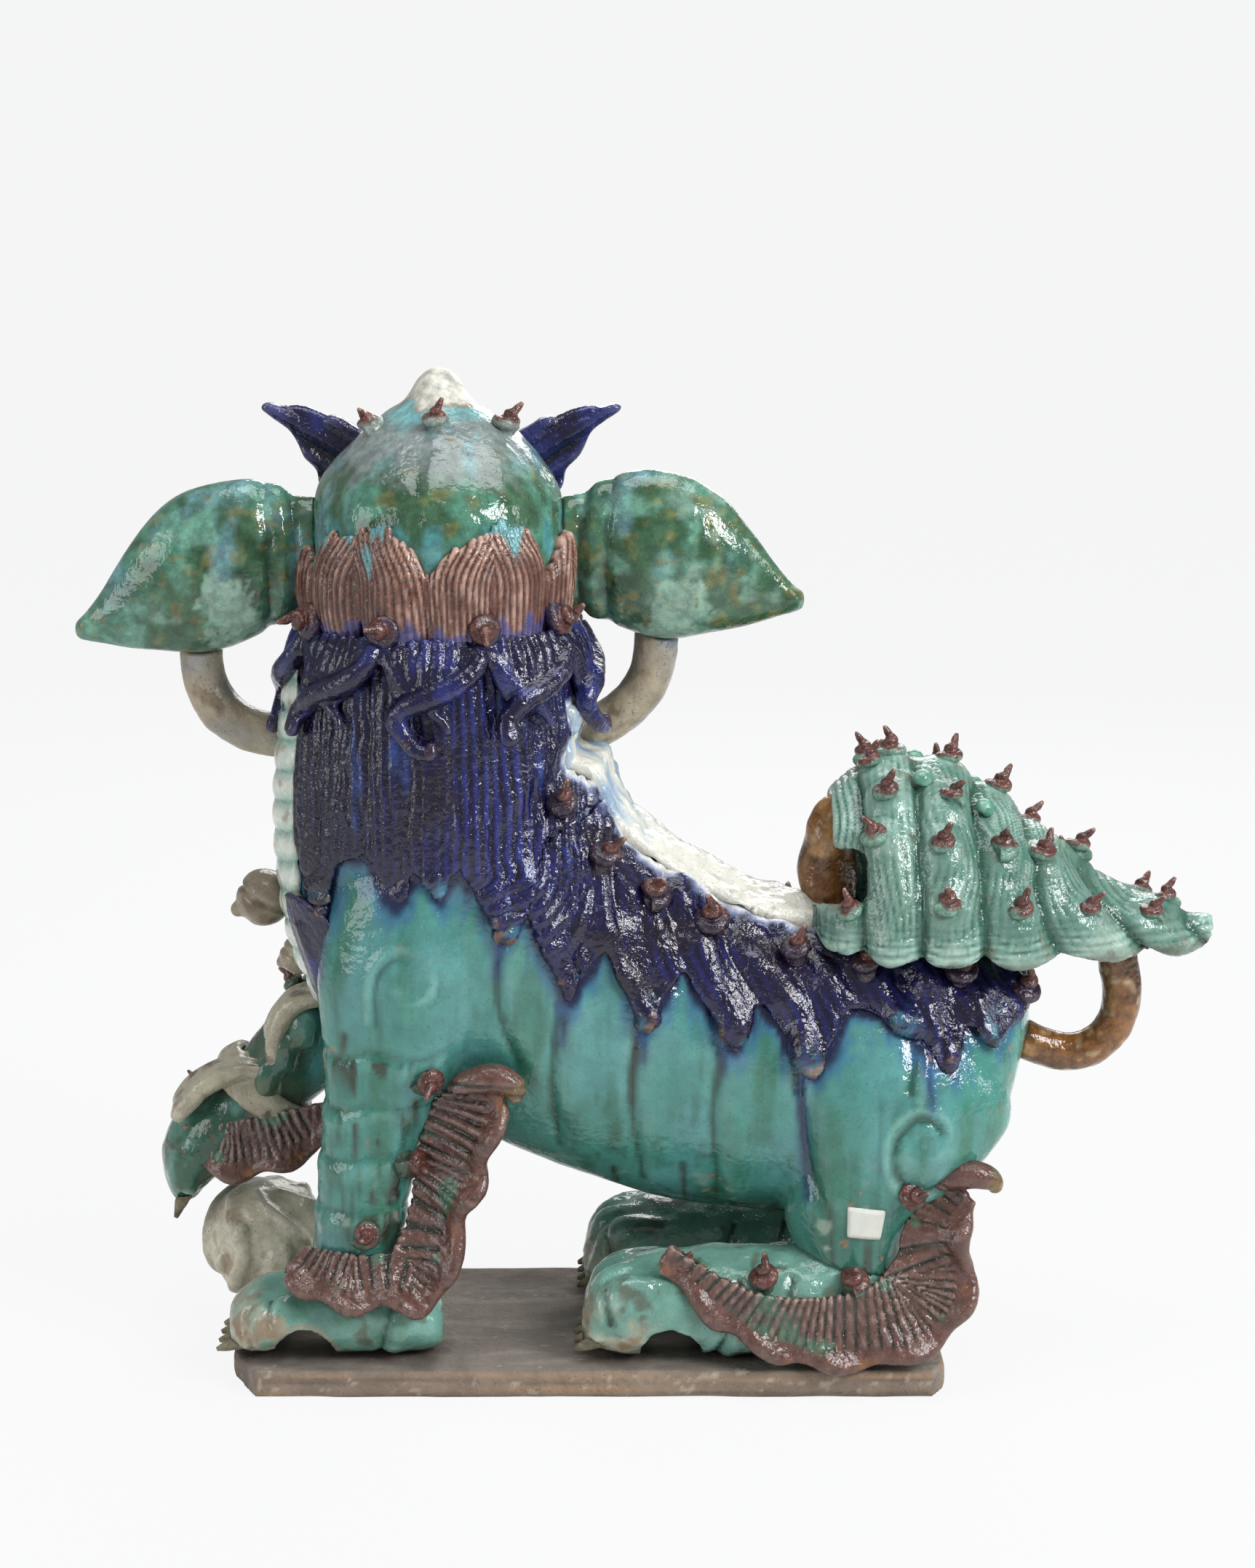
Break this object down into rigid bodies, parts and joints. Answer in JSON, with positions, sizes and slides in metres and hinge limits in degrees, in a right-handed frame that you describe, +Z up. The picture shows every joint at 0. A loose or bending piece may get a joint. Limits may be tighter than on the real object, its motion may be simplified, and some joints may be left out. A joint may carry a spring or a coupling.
{
  "type": "guardian lion statue",
  "caption": "Hollow glazed stoneware guardian lion on a slab, head turned aside, one paw on a ball, with strutted ears and a domed tail.",
  "frame": {"origin": "centre of the slab's underside", "axes": "+X from chest to tail along the body, +Y the way the turned head faces, +Z up"},
  "size_m": [0.8575, 0.297, 0.76],
  "materials": {
    "unglazed_slab": "matte",
    "turquoise_glaze": "gloss",
    "cobalt_glaze": "gloss",
    "cream_glaze": "gloss",
    "pale_glaze": "gloss",
    "brown_glaze": "satin",
    "green_glaze": "gloss",
    "plume_glaze": "gloss",
    "amber_glaze": "gloss",
    "bare_clay": "matte",
    "ball_clay": "satin",
    "knob_glaze": "gloss",
    "claw_clay": "matte",
    "tooth_glaze": "gloss",
    "tongue_glaze": "gloss",
    "eye_glaze": "gloss",
    "label_paper": "matte"
  },
  "bodies": {
    "root": {"plinth_slab": "unglazed_slab", "torso_shell": "turquoise_glaze", "spine_ridge": "cream_glaze", "chest_bib": "pale_glaze", "chest_leaf_lock": "cobalt_glaze", "chest_bells": "ball_clay", "neck_mane": "cobalt_glaze", "back_mane": "cobalt_glaze", "back_knobs": "knob_glaze", "head_shell": "green_glaze", "crown_peak": "cream_glaze", "nape_hair": "brown_glaze", "ear_left": "green_glaze", "ear_right": "green_glaze", "ear_strut_left": "bare_clay", "ear_strut_right": "bare_clay", "brow_flame_left": "cobalt_glaze", "brow_flame_right": "cobalt_glaze", "head_knobs": "knob_glaze", "collar_locks": "cobalt_glaze", "collar_knobs": "knob_glaze", "muzzle": "green_glaze", "lower_jaw": "green_glaze", "tongue": "tongue_glaze", "eyes": "eye_glaze", "nose": "brown_glaze", "teeth_upper": "tooth_glaze", "teeth_lower": "tooth_glaze", "beard_curls": "cobalt_glaze", "foreleg_left": "turquoise_glaze", "forepaw_left": "turquoise_glaze", "forepaw_claws_left": "claw_clay", "foreleg_frill_left": "brown_glaze", "foreleg_knobs_left": "knob_glaze", "foreleg_right": "turquoise_glaze", "forepaw_right": "turquoise_glaze", "forepaw_claws_right": "claw_clay", "foreleg_band_right": "ball_clay", "foreleg_frill_right": "brown_glaze", "foreleg_knobs_right": "knob_glaze", "ball": "ball_clay", "haunch_left": "turquoise_glaze", "haunch_right": "turquoise_glaze", "hind_foot_left": "turquoise_glaze", "hind_foot_right": "turquoise_glaze", "hind_claws_left": "claw_clay", "hind_claws_right": "claw_clay", "hind_frill_left": "brown_glaze", "hind_frill_right": "brown_glaze", "hind_knobs_left": "knob_glaze", "hind_knobs_right": "knob_glaze", "tail_root": "amber_glaze", "tail_plume": "plume_glaze", "tail_strut": "amber_glaze", "plume_knobs": "knob_glaze", "plume_bosses": "green_glaze", "blank_label": "label_paper"}
  },
  "joints": []
}
